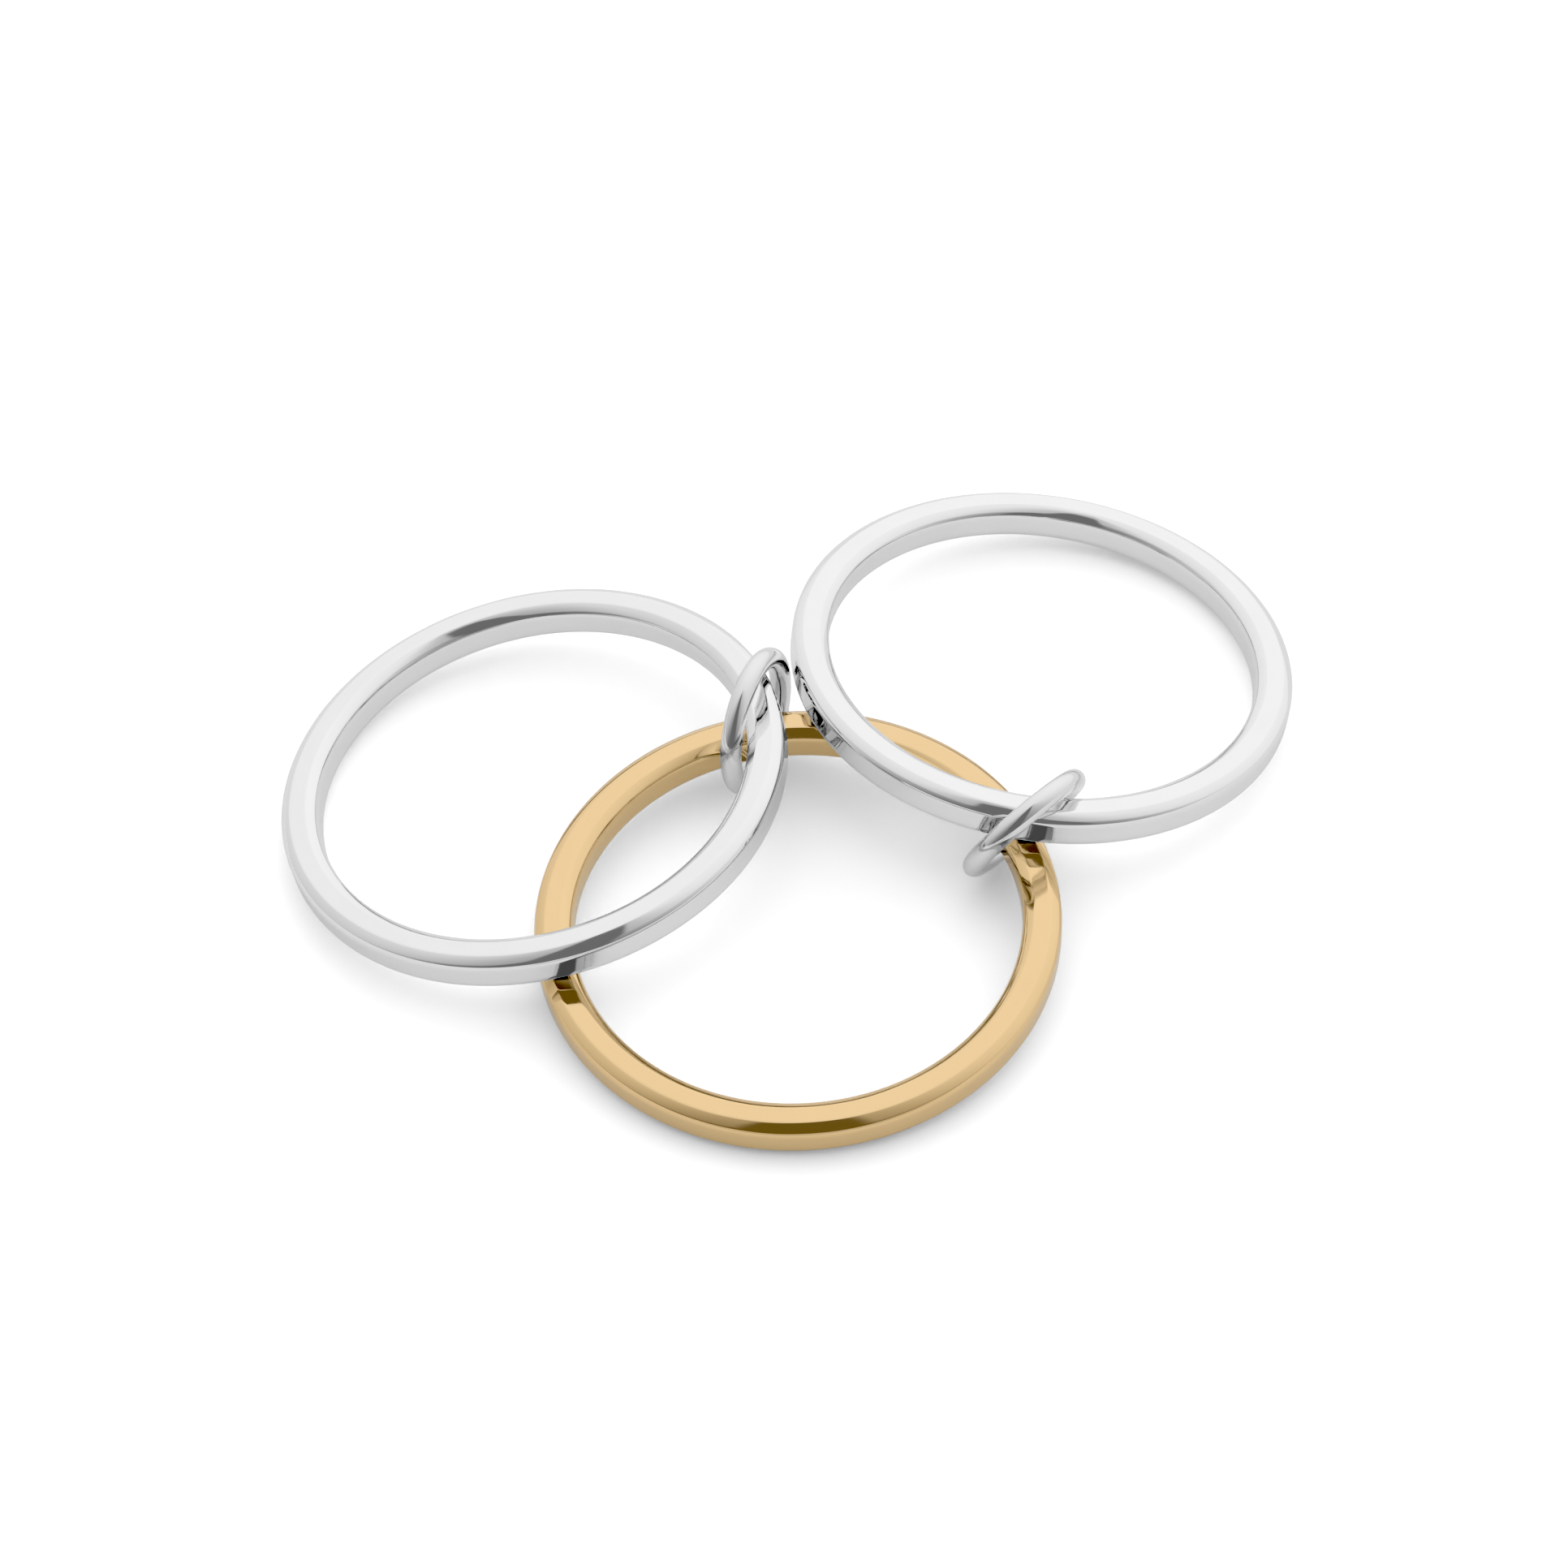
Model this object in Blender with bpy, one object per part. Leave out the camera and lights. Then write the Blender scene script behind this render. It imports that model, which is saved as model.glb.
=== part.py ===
"""Interlocking ring: three plain finger bands held together by two small closed links.

A gold band lies lowest. A silver band leans on it from each side, and a small link of round
silver wire runs round the gold band and the silver band at each crossing. Lengths are in
metres, angles in degrees, +Z is up, and the origin is on the surface that the ring lies on.
"""

import math

import bmesh
import bpy
from mathutils import Vector

MM = 0.001

# Finger bands: all three have the same hole and the same rounded rectangular section.
FINGER_HOLE_DIAMETER = 17.3 * MM
BAND_THICKNESS = 1.5 * MM
BAND_WIDTH = 1.62 * MM
BAND_CORNER_RADIUS = 0.5 * MM
BAND_STEPS_AROUND = 96
BAND_STEPS_PER_CORNER = 3

# Links: closed rings of round wire, each wide enough for two bands side by side.
LINK_OUTER_DIAMETER = 6.0 * MM
LINK_WIRE_DIAMETER = 0.85 * MM
LINK_STEPS_AROUND = 40
LINK_STEPS_OF_WIRE = 12

BAND_MEAN_RADIUS = (FINGER_HOLE_DIAMETER + BAND_THICKNESS) / 2
LINK_MEAN_RADIUS = (LINK_OUTER_DIAMETER - LINK_WIRE_DIAMETER) / 2

SMOOTH_BELOW_ANGLE = math.radians(40)

# Where each band lies. x and y are its centre, measured from the gold band's centre in mm.
# Its plane leans by "tilt" from level, and its lowest point lies towards "heading",
# an angle counted anticlockwise from +X.
BANDS = {
    "band_gold": {"x": 0.0, "y": 0.0, "tilt": 3.23, "heading": -109.0, "metal": "gold"},
    "band_silver_left": {"x": -10.19, "y": 7.06, "tilt": 8.96, "heading": 167.1, "metal": "silver"},
    "band_silver_right": {"x": 10.26, "y": 12.38, "tilt": 8.95, "heading": 39.1, "metal": "silver"},
}

# Where each link stands. Its axis points towards "heading" and rises by "rise" from level.
LINKS = {
    "connector_left": {"x": -1.33, "y": 9.10, "heading": -23.5, "rise": 2.4, "metal": "silver"},
    "connector_right": {"x": 8.94, "y": 3.40, "heading": -47.7, "rise": -24.9, "metal": "silver"},
}

METALS = {
    "gold": {"colour": (0.84, 0.62, 0.30, 1.0), "roughness": 0.10},
    "silver": {"colour": (0.86, 0.86, 0.85, 1.0), "roughness": 0.08},
}


def clear_scene():
    for leftover in list(bpy.data.objects):
        bpy.data.objects.remove(leftover, do_unlink=True)


def make_metal(name, metal):
    look = METALS[metal]
    material = bpy.data.materials.new(name)
    material.use_nodes = True
    shader = material.node_tree.nodes["Principled BSDF"]
    shader.inputs["Base Color"].default_value = look["colour"]
    shader.inputs["Metallic"].default_value = 1.0
    shader.inputs["Roughness"].default_value = look["roughness"]
    material.diffuse_color = look["colour"]
    return material


def band_section():
    """The band's section as (out, up) offsets from its middle, anticlockwise, corners rounded."""
    flat_out = BAND_THICKNESS / 2 - BAND_CORNER_RADIUS
    flat_up = BAND_WIDTH / 2 - BAND_CORNER_RADIUS
    corner_centres = ((flat_out, flat_up), (-flat_out, flat_up), (-flat_out, -flat_up), (flat_out, -flat_up))
    points = []
    for quarter, (centre_out, centre_up) in enumerate(corner_centres):
        for step in range(BAND_STEPS_PER_CORNER + 1):
            angle = math.pi / 2 * (quarter + step / BAND_STEPS_PER_CORNER)
            out = centre_out + BAND_CORNER_RADIUS * math.cos(angle)
            up = centre_up + BAND_CORNER_RADIUS * math.sin(angle)
            points.append((out, up))
    return points


def wire_section():
    """The link's round wire as (out, up) offsets from its middle, anticlockwise."""
    radius = LINK_WIRE_DIAMETER / 2
    angles = [2 * math.pi * step / LINK_STEPS_OF_WIRE for step in range(LINK_STEPS_OF_WIRE)]
    return [(radius * math.cos(angle), radius * math.sin(angle)) for angle in angles]


def turned_ring(name, section, mean_radius, steps_around):
    """A closed ring about the object's own Z axis, swept from one section."""
    mesh = bpy.data.meshes.new(name)
    shape = bmesh.new()
    loops = []
    for step in range(steps_around):
        turn = 2 * math.pi * step / steps_around
        outward = Vector((math.cos(turn), math.sin(turn), 0))
        loop = [shape.verts.new(outward * (mean_radius + out) + Vector((0, 0, up))) for out, up in section]
        loops.append(loop)
    count = len(section)
    for step in range(steps_around):
        here = loops[step]
        ahead = loops[(step + 1) % steps_around]
        for side in range(count):
            next_side = (side + 1) % count
            shape.faces.new((here[side], ahead[side], ahead[next_side], here[next_side]))
    bmesh.ops.recalc_face_normals(shape, faces=shape.faces)
    shape.to_mesh(mesh)
    shape.free()
    mesh.shade_smooth()
    mesh.set_sharp_from_angle(angle=SMOOTH_BELOW_ANGLE)
    ring = bpy.data.objects.new(name, mesh)
    bpy.context.scene.collection.objects.link(ring)
    return ring


def resting_height_of_band(tilt):
    """Height of a leaning band's centre when its lowest point touches the surface."""
    reach_out = BAND_MEAN_RADIUS + BAND_THICKNESS / 2 - BAND_CORNER_RADIUS
    reach_down = BAND_WIDTH / 2 - BAND_CORNER_RADIUS
    return reach_out * math.sin(tilt) + reach_down * math.cos(tilt) + BAND_CORNER_RADIUS


def resting_height_of_link(rise):
    """Height of a link's centre when its lowest point touches the surface."""
    return LINK_MEAN_RADIUS * math.cos(rise) + LINK_WIRE_DIAMETER / 2


def add_band(name, place, assembly):
    tilt = math.radians(place["tilt"])
    heading = math.radians(place["heading"])
    band = turned_ring(name, band_section(), BAND_MEAN_RADIUS, BAND_STEPS_AROUND)
    band.location = (place["x"] * MM, place["y"] * MM, resting_height_of_band(tilt))
    band.rotation_euler = (0, tilt, heading)
    band.data.materials.append(make_metal(name, place["metal"]))
    band.parent = assembly


def add_link(name, place, assembly):
    rise = math.radians(place["rise"])
    heading = math.radians(place["heading"])
    link = turned_ring(name, wire_section(), LINK_MEAN_RADIUS, LINK_STEPS_AROUND)
    link.location = (place["x"] * MM, place["y"] * MM, resting_height_of_link(rise))
    link.rotation_euler = (0, math.pi / 2 - rise, heading)
    link.data.materials.append(make_metal(name, place["metal"]))
    link.parent = assembly


def centre_over_origin(assembly):
    """Moves the whole ring sideways so that the middle of its footprint is over the origin."""
    bpy.context.view_layer.update()
    corners = [piece.matrix_world @ vertex.co for piece in assembly.children for vertex in piece.data.vertices]
    for axis in (0, 1):
        values = [corner[axis] for corner in corners]
        assembly.location[axis] = -(min(values) + max(values)) / 2


def main():
    clear_scene()
    assembly = bpy.data.objects.new("interlocking_ring", None)
    bpy.context.scene.collection.objects.link(assembly)
    for name, place in BANDS.items():
        add_band(name, place, assembly)
    for name, place in LINKS.items():
        add_link(name, place, assembly)
    centre_over_origin(assembly)


main()
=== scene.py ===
"""Looks of the interlocking ring: polished silver and gold bands, linked, on a white surface.

Lengths are in metres in the frame's own axes: +Z is up and the camera looks along +Y from
above. Each band and link is turned afresh at full smoothness from the sizes of its CAD node.
"""

import math

import bpy
import numpy as np
from mathutils import Matrix, Vector


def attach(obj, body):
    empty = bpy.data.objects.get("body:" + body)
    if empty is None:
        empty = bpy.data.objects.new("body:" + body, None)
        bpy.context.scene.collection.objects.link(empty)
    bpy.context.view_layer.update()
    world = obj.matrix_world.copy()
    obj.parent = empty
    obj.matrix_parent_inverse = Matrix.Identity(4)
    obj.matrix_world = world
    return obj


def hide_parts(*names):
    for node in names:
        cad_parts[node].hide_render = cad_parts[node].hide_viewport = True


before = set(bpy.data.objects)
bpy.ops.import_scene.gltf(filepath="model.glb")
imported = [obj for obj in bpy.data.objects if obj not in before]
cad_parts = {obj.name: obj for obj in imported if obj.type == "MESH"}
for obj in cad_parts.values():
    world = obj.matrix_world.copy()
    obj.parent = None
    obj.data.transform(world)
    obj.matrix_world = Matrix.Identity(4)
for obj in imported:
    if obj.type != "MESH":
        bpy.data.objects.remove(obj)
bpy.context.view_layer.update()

MM = 0.001

# Camera: it looks down at the rings from close by, turned a little about its own axis.
CAMERA_AIM = Vector((-0.000370, -0.001483, 0.004142))
CAMERA_DISTANCE = 157.23 * MM
CAMERA_ELEVATION = math.radians(48.59)
CAMERA_ROLL = math.radians(-2.28)
CAMERA_LENS = 93.09
SENSOR_WIDTH = 36.0
CAMERA_CLIP_START = 0.01
CAMERA_CLIP_END = 10.0

# Fineness of the turned rings.
BAND_STEPS_AROUND = 384
BAND_STEPS_PER_ARC = 5
BAND_STEPS_PER_EDGE = 4
BAND_STEPS_PER_FLAT = 4
WIRE_STEPS_AROUND = 192
WIRE_STEPS = 40

# Each corner of a band is rounded, with a flat bevel on it between these two angles from the
# top or bottom. The bevel is slightly crowned, and its edges are soft over a share of its width.
BEVEL_FROM = math.radians(8)
BEVEL_TO = math.radians(58)
BEVEL_EDGE_SHARE = 0.13
BEVEL_MIDDLE_SHARES = (0.35, 0.65)
BEVEL_CROWN = math.radians(6)

# Reading a node: vertices are the same up to this many decimals of a metre, and those within
# this distance of a band's side are on its flat.
VERTEX_DECIMALS = 8
FLAT_TOLERANCE = 0.002 * MM

# Polished metals. The links' wire is rougher than the bands, and its colour is darker as painted shade; the
# gold's colour is painted neutral grey for every ray but the camera's, a painted reflection, so other metal
# reflects it as grey.
FINISHES = {
    "silver": {"colour": (0.930, 0.930, 0.930), "roughness": (0.035, 0.085)},
    # Painted shade: the links' colour is darker than the bands' silver, standing in for the shade the wire
    # reflects.
    "silver_wire_painted_shade": {"colour": (0.880, 0.880, 0.880), "roughness": (0.07, 0.13)},
    # Painted reflection: for every ray but the camera's, the gold's colour is this neutral grey.
    "gold": {"colour": (0.930, 0.705, 0.432), "roughness": (0.04, 0.10), "painted_reflection_grey": (0.655, 0.655, 0.655)},
}

# Marks of polishing. A noise has so many features to the millimetre, along the ring and across.
TINT_NOISE = {"along": 0.5, "across": 1.2, "detail": 3.0}
SHINE_NOISE = {"along": 0.8, "across": 6.0, "detail": 4.0}
WAVE_NOISE = {"along": 0.35, "across": 0.9, "detail": 1.0}
LINE_NOISE = {"along": 0.25, "across": 9.0, "detail": 3.0}
DARKER_TINT = 0.965
SHINE_NOISE_LOW = 0.3
SHINE_NOISE_HIGH = 0.7
WAVE_HEIGHT = 0.006 * MM
LINE_HEIGHT = 0.001 * MM

# Surroundings: a bright ceiling behind the rings, dimmer sides and front, and a dark flag in
# front. The sky's level rises with the cosine of the angle to its brightest point.
BRIGHT_TOWARDS = Vector((0.32, 0.75, 0.60)).normalized()
SKY_FACING_AWAY = 0.47
SKY_FACING = 0.98
SKY_RISES_FROM = -0.8
FRONT_DIMMING = 0.23
FRONT_FULL = math.radians(25)
FRONT_NONE = math.radians(85)
FLAG_LEVEL = 0.245
FLAG_CENTRE = math.radians(-3)
FLAG_HALF_ANGLE = math.radians(25)
FLAG_TOP = math.radians(83)
FLAG_SOFTNESS = math.radians(3.5)

# A weak soft lamp overhead that lights the surface but isn't seen in the metal.
LAMP_HEIGHT = 0.5
LAMP_SIZE = 0.45
LAMP_POWER = 0.12

# The surface. To the camera it is overexposed white, so its albedo there is above 1. The metal reflects it
# as light grey with a faint painted glow, and with painted shade in a patch in front, under the flag.
FLOOR_SIZE = 4.0
FLOOR_ALBEDO_TO_CAMERA = 1.63
FLOOR_ALBEDO = 0.85
# Painted light: the surface glows this much for every ray but the camera's.
FLOOR_GLOW = 0.16
PAINTED_SHADE_CENTRE = (1.0 * MM, -34.0 * MM)
PAINTED_SHADE_HALF_SIZE = (14.0 * MM, 12.0 * MM)
PAINTED_SHADE_SOFTNESS = 3.0 * MM
PAINTED_SHADE_LEVEL = 0.75

# Contrast: light up to this level comes out black.
BLACK_LEVEL = 0.10

# Each node's material slot in the record, and its finish here.
PIECES = {
    "band_gold": {"slot": "gold", "finish": "gold"},
    "band_silver_left": {"slot": "silver", "finish": "silver"},
    "band_silver_right": {"slot": "silver", "finish": "silver"},
    "connector_left": {"slot": "silver", "finish": "silver_wire_painted_shade"},
    "connector_right": {"slot": "silver", "finish": "silver_wire_painted_shade"},
}


# Measuring the frame

def ring_sizes(node):
    """Centre, axis and section of a ring-shaped node, read from its own vertices."""
    points = np.array([vertex.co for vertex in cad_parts[node].data.vertices])
    points = np.unique(np.round(points, VERTEX_DECIMALS), axis=0)
    centre = points.mean(axis=0)
    offsets = points - centre
    axis = np.linalg.svd(offsets, full_matrices=False)[2][2]
    axis = axis * np.sign(axis[np.argmax(np.abs(axis))])
    along = offsets @ axis
    out = np.linalg.norm(offsets - np.outer(along, axis), axis=1)
    half_width = along.max()
    on_side = out[along > half_width - FLAT_TOLERANCE]
    return {
        "centre": Vector(centre),
        "axis": Vector(axis),
        "mean_radius": (out.min() + out.max()) / 2,
        "half_thickness": (out.max() - out.min()) / 2,
        "half_width": half_width,
        "corner": out.max() - on_side.max(),
    }


# Shapes

def bevelled_quarter(corner):
    """One corner from 0 to 90 degrees: (point, normal angle) along arc, bevel and arc."""
    def on_arc(angle):
        return corner * math.cos(angle), corner * math.sin(angle)

    first = np.linspace(0, BEVEL_FROM, BAND_STEPS_PER_ARC)
    last = np.linspace(BEVEL_TO, math.pi / 2, BAND_STEPS_PER_ARC)
    start, end = on_arc(BEVEL_FROM), on_arc(BEVEL_TO)
    middle = (BEVEL_FROM + BEVEL_TO) / 2
    edge = np.linspace(0, BEVEL_EDGE_SHARE, BAND_STEPS_PER_EDGE + 1)[1:]
    shares = np.concatenate([edge, BEVEL_MIDDLE_SHARES, 1 - edge[::-1]])
    turning = [0, BEVEL_EDGE_SHARE, 1 - BEVEL_EDGE_SHARE, 1]
    facing = [BEVEL_FROM, middle - BEVEL_CROWN, middle + BEVEL_CROWN, BEVEL_TO]
    quarter = [(on_arc(angle), angle) for angle in first]
    for share in shares[:-1]:
        point = [start[axis] + share * (end[axis] - start[axis]) for axis in (0, 1)]
        quarter.append((point, float(np.interp(share, turning, facing))))
    return quarter + [(on_arc(angle), angle) for angle in last]


def band_section(half_thickness, half_width, corner):
    """Points and outward normals of the bevelled rectangle, as (out, up), anticlockwise."""
    flat_out = half_thickness - corner
    flat_up = half_width - corner
    centres = ((flat_out, flat_up), (-flat_out, flat_up), (-flat_out, -flat_up), (flat_out, -flat_up))
    quarter = bevelled_quarter(corner)
    painted_reflection_grey = [((point[1], point[0]), math.pi / 2 - angle) for point, angle in reversed(quarter)]
    points = []
    normals = []
    for turn, centre in enumerate(centres):
        cosine, sine = math.cos(turn * math.pi / 2), math.sin(turn * math.pi / 2)
        for point, angle in (painted_reflection_grey if turn % 2 == 0 else quarter):
            x = cosine * point[0] - sine * point[1]
            y = sine * point[0] + cosine * point[1]
            normal = (math.cos(angle + turn * math.pi / 2), math.sin(angle + turn * math.pi / 2))
            points.append((centre[0] + x, centre[1] + y))
            normals.append(normal)
        following = centres[(turn + 1) % 4]
        for step in range(1, BAND_STEPS_PER_FLAT):
            share = step / BAND_STEPS_PER_FLAT
            middle = [centre[axis] + share * (following[axis] - centre[axis]) for axis in (0, 1)]
            points.append((middle[0] + corner * normal[0], middle[1] + corner * normal[1]))
            normals.append(normal)
    return points, normals


def wire_section(radius):
    """Points and outward normals of the round wire, as (out, up), anticlockwise."""
    angles = [2 * math.pi * step / WIRE_STEPS for step in range(WIRE_STEPS)]
    normals = [(math.cos(angle), math.sin(angle)) for angle in angles]
    return [(radius * out, radius * up) for out, up in normals], normals


def turned_ring(name, points, normals, mean_radius, steps_around):
    """A smooth closed ring about its own Z axis, with UVs in millimetres: round it, across it."""
    count = len(points)
    vertices = []
    vertex_normals = []
    for step in range(steps_around):
        turn = 2 * math.pi * step / steps_around
        cosine, sine = math.cos(turn), math.sin(turn)
        for (out, up), (normal_out, normal_up) in zip(points, normals):
            radius = mean_radius + out
            vertices.append((radius * cosine, radius * sine, up))
            vertex_normals.append((normal_out * cosine, normal_out * sine, normal_up))
    edges = [math.dist(points[side], points[(side + 1) % count]) for side in range(count)]
    across = np.concatenate([[0], np.cumsum(edges)]) / MM
    step_length = 2 * math.pi * mean_radius / steps_around / MM
    faces = []
    places = []
    for step in range(steps_around):
        here = step * count
        ahead = (step + 1) % steps_around * count
        for side in range(count):
            following = (side + 1) % count
            faces.append((here + side, ahead + side, ahead + following, here + following))
            left, right = step * step_length, (step + 1) * step_length
            low, high = across[side], across[side + 1]
            places.extend([(left, low), (right, low), (right, high), (left, high)])
    mesh = bpy.data.meshes.new(name)
    mesh.from_pydata(vertices, [], faces)
    layer = mesh.uv_layers.new(name="surface_mm")
    layer.uv.foreach_set("vector", np.array(places, np.float32).ravel())
    mesh.shade_smooth()
    mesh.normals_split_custom_set_from_vertices(vertex_normals)
    ring = bpy.data.objects.new(name, mesh)
    bpy.context.scene.collection.objects.link(ring)
    return ring


def place_ring(ring, centre, axis):
    turn = Vector((0, 0, 1)).rotation_difference(axis)
    ring.matrix_world = Matrix.Translation(centre) @ turn.to_matrix().to_4x4()


def make_piece(node, material):
    """The polished band or link that stands in for one CAD node."""
    sizes = ring_sizes(node)
    if node.startswith("band"):
        points, normals = band_section(sizes["half_thickness"], sizes["half_width"], sizes["corner"])
        steps_around = BAND_STEPS_AROUND
    else:
        points, normals = wire_section(sizes["half_thickness"])
        steps_around = WIRE_STEPS_AROUND
    ring = turned_ring(node + "_polished", points, normals, sizes["mean_radius"], steps_around)
    place_ring(ring, sizes["centre"], sizes["axis"])
    ring.data.materials.append(material)
    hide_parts(node)
    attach(ring, "root")


# Materials

class Nodes:
    """A short way to add and link nodes in one tree."""

    def __init__(self, tree):
        self.tree = tree

    def add(self, kind, inputs=None, **settings):
        node = self.tree.nodes.new("ShaderNode" + kind)
        for name, value in settings.items():
            setattr(node, name, value)
        for name, value in (inputs or {}).items():
            socket = node.inputs[name]
            if isinstance(value, bpy.types.NodeSocket):
                self.tree.links.new(value, socket)
            else:
                socket.default_value = value
        return node

    def calculate(self, operation, first, second=0.0):
        return self.add("Math", {0: first, 1: second}, operation=operation).outputs[0]


def step_down(nodes, value, edge, softness):
    """1 below the edge and 0 above it, with a soft step between."""
    step = nodes.add("MapRange", {"Value": value, "From Min": edge - softness, "From Max": edge + softness,
                                  "To Min": 1.0, "To Max": 0.0}, interpolation_type="SMOOTHSTEP")
    return step.outputs["Result"]


def stretched_noise(nodes, along, across, detail):
    """Noise over a ring's surface, drawn out along the direction in which it was polished."""
    place = nodes.add("UVMap", uv_map="surface_mm")
    stretch = nodes.add("Mapping", {"Vector": place.outputs["UV"], "Scale": (along, across, 1.0)})
    noise = nodes.add("TexNoise", {"Vector": stretch.outputs["Vector"], "Scale": 1.0, "Detail": detail})
    return noise.outputs["Fac"]


def polished_metal(name, colour, roughness, painted_reflection_grey=None):
    """Polished metal with faint lines from polishing, soft waviness and uneven shine, and if given, a
    painted reflection colour: a grey that every ray but the camera's sees.
    """
    material = bpy.data.materials.new(name)
    material.use_nodes = True
    nodes = Nodes(material.node_tree)
    shader = material.node_tree.nodes["Principled BSDF"]
    shader.inputs["Metallic"].default_value = 1.0
    tint = nodes.add("MixRGB", {"Fac": stretched_noise(nodes, **TINT_NOISE),
                                "Color1": [DARKER_TINT * part for part in colour] + [1.0],
                                "Color2": [*colour, 1.0]}).outputs["Color"]
    # Painted reflection: every ray but the camera's sees the given grey instead of the metal's colour, so
    # other metal reflects it as grey, and the light it bounces is grey too.
    if painted_reflection_grey:
        to_camera = nodes.add("LightPath").outputs["Is Camera Ray"]
        tint = nodes.add("MixRGB", {"Fac": to_camera, "Color1": [*painted_reflection_grey, 1.0], "Color2": tint})
        tint = tint.outputs["Color"]
    nodes.tree.links.new(tint, shader.inputs["Base Color"])
    shine = nodes.add("MapRange", {"Value": stretched_noise(nodes, **SHINE_NOISE),
                                   "From Min": SHINE_NOISE_LOW, "From Max": SHINE_NOISE_HIGH,
                                   "To Min": roughness[0], "To Max": roughness[1]})
    nodes.tree.links.new(shine.outputs["Result"], shader.inputs["Roughness"])
    waves = nodes.add("Bump", {"Height": stretched_noise(nodes, **WAVE_NOISE),
                               "Strength": 1.0, "Distance": WAVE_HEIGHT})
    lines = nodes.add("Bump", {"Height": stretched_noise(nodes, **LINE_NOISE),
                               "Normal": waves.outputs["Normal"],
                               "Strength": 1.0, "Distance": LINE_HEIGHT})
    nodes.tree.links.new(lines.outputs["Normal"], shader.inputs["Normal"])
    return material


def floor_material():
    """White surface that the camera sees brighter than the metal reflects it. In reflections it has a faint
    painted glow and a patch of painted shade in front.
    """
    material = bpy.data.materials.new("white_surface")
    material.use_nodes = True
    tree = material.node_tree
    tree.nodes.remove(tree.nodes["Principled BSDF"])
    nodes = Nodes(tree)
    place = nodes.add("SeparateXYZ", {"Vector": nodes.add("NewGeometry").outputs["Position"]})
    # Painted shade: a patch in front that is darker only in reflections and bounce light.
    inside = []
    for axis in (0, 1):
        beside = nodes.calculate("SUBTRACT", place.outputs[axis], PAINTED_SHADE_CENTRE[axis])
        beside = nodes.calculate("ABSOLUTE", beside)
        inside.append(step_down(nodes, beside, PAINTED_SHADE_HALF_SIZE[axis], PAINTED_SHADE_SOFTNESS))
    painted_shade_patch = nodes.calculate("MULTIPLY", inside[0], inside[1])
    shade = nodes.add("MapRange", {"Value": painted_shade_patch, "To Min": 1.0, "To Max": PAINTED_SHADE_LEVEL}).outputs["Result"]
    to_camera = nodes.add("LightPath").outputs["Is Camera Ray"]
    albedo = nodes.calculate("MULTIPLY", shade, FLOOR_ALBEDO)
    albedo = nodes.add("MapRange", {"Value": to_camera, "To Min": albedo, "To Max": FLOOR_ALBEDO_TO_CAMERA})
    # Painted light: a glow that only reflections and bounce light see.
    glow = nodes.calculate("MULTIPLY", shade, FLOOR_GLOW)
    glow = nodes.add("MapRange", {"Value": to_camera, "To Min": glow, "To Max": 0.0})
    surface = nodes.add("AddShader", {
        0: nodes.add("BsdfDiffuse", {"Color": albedo.outputs["Result"]}).outputs["BSDF"],
        1: nodes.add("Emission", {"Strength": glow.outputs["Result"]}).outputs["Emission"],
    })
    tree.links.new(surface.outputs["Shader"], tree.nodes["Material Output"].inputs["Surface"])
    return material


# Surroundings

def add_floor():
    mesh = bpy.data.meshes.new("floor")
    half = FLOOR_SIZE / 2
    corners = [(-half, -half, 0), (half, -half, 0), (half, half, 0), (-half, half, 0)]
    mesh.from_pydata(corners, [], [(0, 1, 2, 3)])
    floor = bpy.data.objects.new("floor", mesh)
    floor.data.materials.append(floor_material())
    bpy.context.scene.collection.objects.link(floor)


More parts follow.
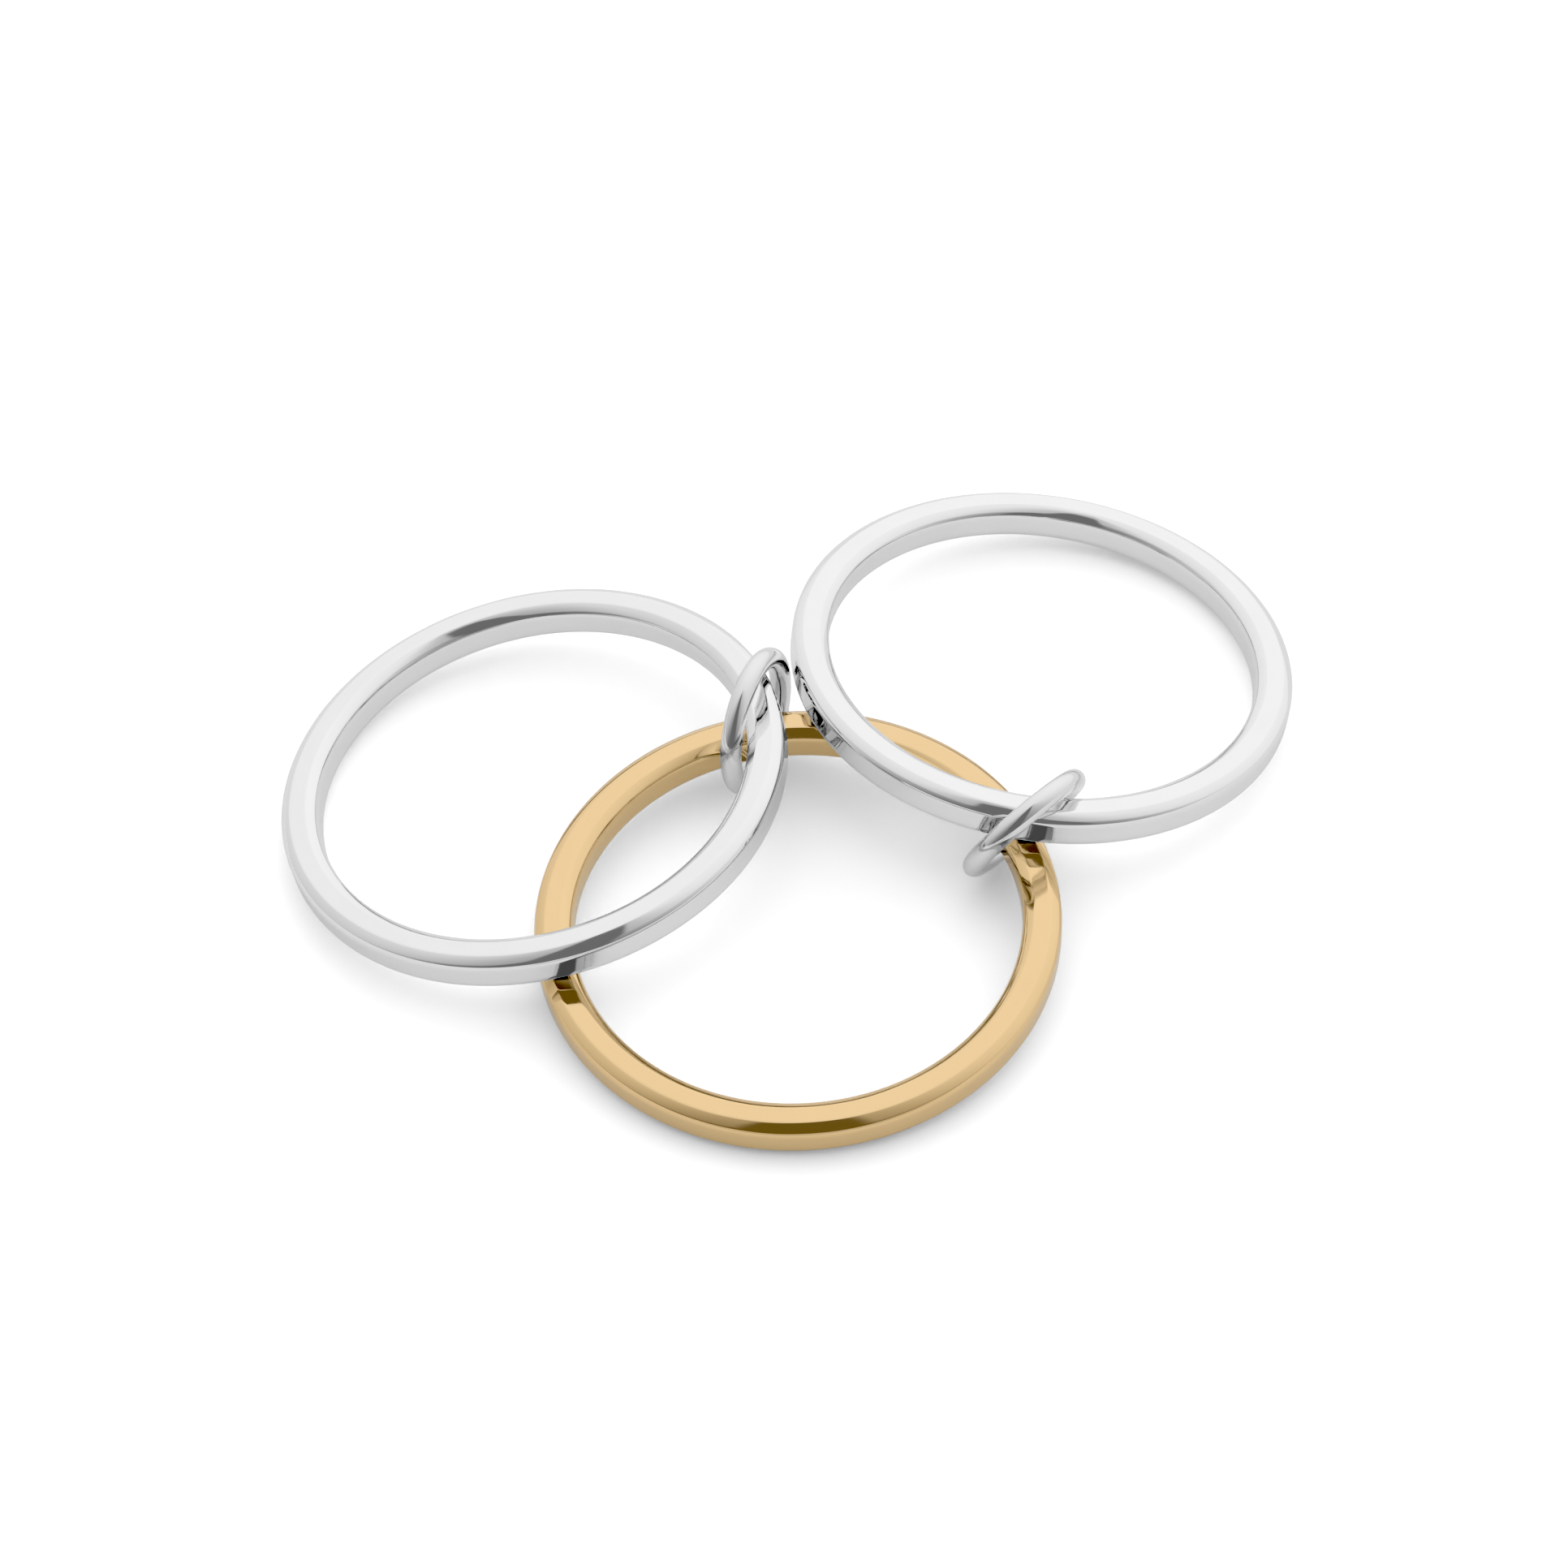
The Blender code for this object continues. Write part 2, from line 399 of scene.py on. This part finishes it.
def add_surroundings():
    """Sky of the studio: bright behind, dimmed in front, with the dark flag in the middle there."""
    world = bpy.data.worlds.new("studio")
    bpy.context.scene.world = world
    world.use_nodes = True
    nodes = Nodes(world.node_tree)
    direction = nodes.add("TexCoord").outputs["Generated"]
    facing = nodes.add("VectorMath", {0: direction, 1: BRIGHT_TOWARDS}, operation="DOT_PRODUCT")
    sky = nodes.add("MapRange", {"Value": facing.outputs["Value"],
                                 "From Min": SKY_RISES_FROM, "From Max": 1.0,
                                 "To Min": SKY_FACING_AWAY, "To Max": SKY_FACING})
    parts = nodes.add("SeparateXYZ", {"Vector": direction})
    forwards = nodes.calculate("MULTIPLY", parts.outputs["Y"], -1.0)
    sideways = nodes.calculate("ARCTAN2", parts.outputs["X"], forwards)
    sideways = nodes.calculate("SUBTRACT", sideways, FLAG_CENTRE)
    sideways = nodes.calculate("ABSOLUTE", sideways)
    front = step_down(nodes, sideways, (FRONT_NONE + FRONT_FULL) / 2, (FRONT_NONE - FRONT_FULL) / 2)
    dimming = nodes.calculate("MULTIPLY", front, FRONT_DIMMING)
    sky = nodes.calculate("SUBTRACT", sky.outputs["Result"], dimming)
    height = nodes.calculate("ARCTAN2", parts.outputs["Z"], forwards)
    beside = step_down(nodes, sideways, FLAG_HALF_ANGLE, FLAG_SOFTNESS)
    below_top = step_down(nodes, height, FLAG_TOP, FLAG_SOFTNESS)
    flag = nodes.calculate("MULTIPLY", beside, below_top)
    # The inputs of a plain-number Mix node: 0 is the factor, 2 is A and 3 is B.
    level = nodes.add("Mix", {0: flag, 2: sky, 3: FLAG_LEVEL})
    background = world.node_tree.nodes["Background"]
    world.node_tree.links.new(level.outputs[0], background.inputs["Color"])


def add_lamp():
    lamp = bpy.data.objects.new("lamp", bpy.data.lights.new("lamp", "AREA"))
    lamp.data.shape = "DISK"
    lamp.data.size = LAMP_SIZE
    lamp.data.energy = LAMP_POWER
    lamp.location = (0, 0, LAMP_HEIGHT)
    lamp.visible_glossy = False
    bpy.context.scene.collection.objects.link(lamp)


def set_contrast(view):
    """A little contrast, as in the finished photograph: the darkest tenth goes to black."""
    view.view_transform = "Standard"
    view.use_curve_mapping = True
    view.curve_mapping.black_level = (BLACK_LEVEL, BLACK_LEVEL, BLACK_LEVEL)
    view.curve_mapping.update()


def add_camera():
    forward = Vector((0, math.cos(CAMERA_ELEVATION), -math.sin(CAMERA_ELEVATION)))
    level_up = Vector((0, math.sin(CAMERA_ELEVATION), math.cos(CAMERA_ELEVATION)))
    level_right = Vector((1, 0, 0))
    right = math.cos(CAMERA_ROLL) * level_right + math.sin(CAMERA_ROLL) * level_up
    up = math.cos(CAMERA_ROLL) * level_up - math.sin(CAMERA_ROLL) * level_right
    camera = bpy.data.objects.new("camera", bpy.data.cameras.new("camera"))
    camera.data.lens = CAMERA_LENS
    camera.data.sensor_width = SENSOR_WIDTH
    camera.data.clip_start = CAMERA_CLIP_START
    camera.data.clip_end = CAMERA_CLIP_END
    axes = Matrix((right, up, -forward)).transposed().to_4x4()
    camera.matrix_world = Matrix.Translation(CAMERA_AIM - CAMERA_DISTANCE * forward) @ axes
    bpy.context.scene.collection.objects.link(camera)
    bpy.context.scene.camera = camera


def main():
    set_contrast(bpy.context.scene.view_settings)
    materials = {name: polished_metal(name, **finish) for name, finish in FINISHES.items()}
    for node, piece in PIECES.items():
        make_piece(node, materials[piece["finish"]])
    add_floor()
    add_surroundings()
    add_lamp()
    add_camera()


main()
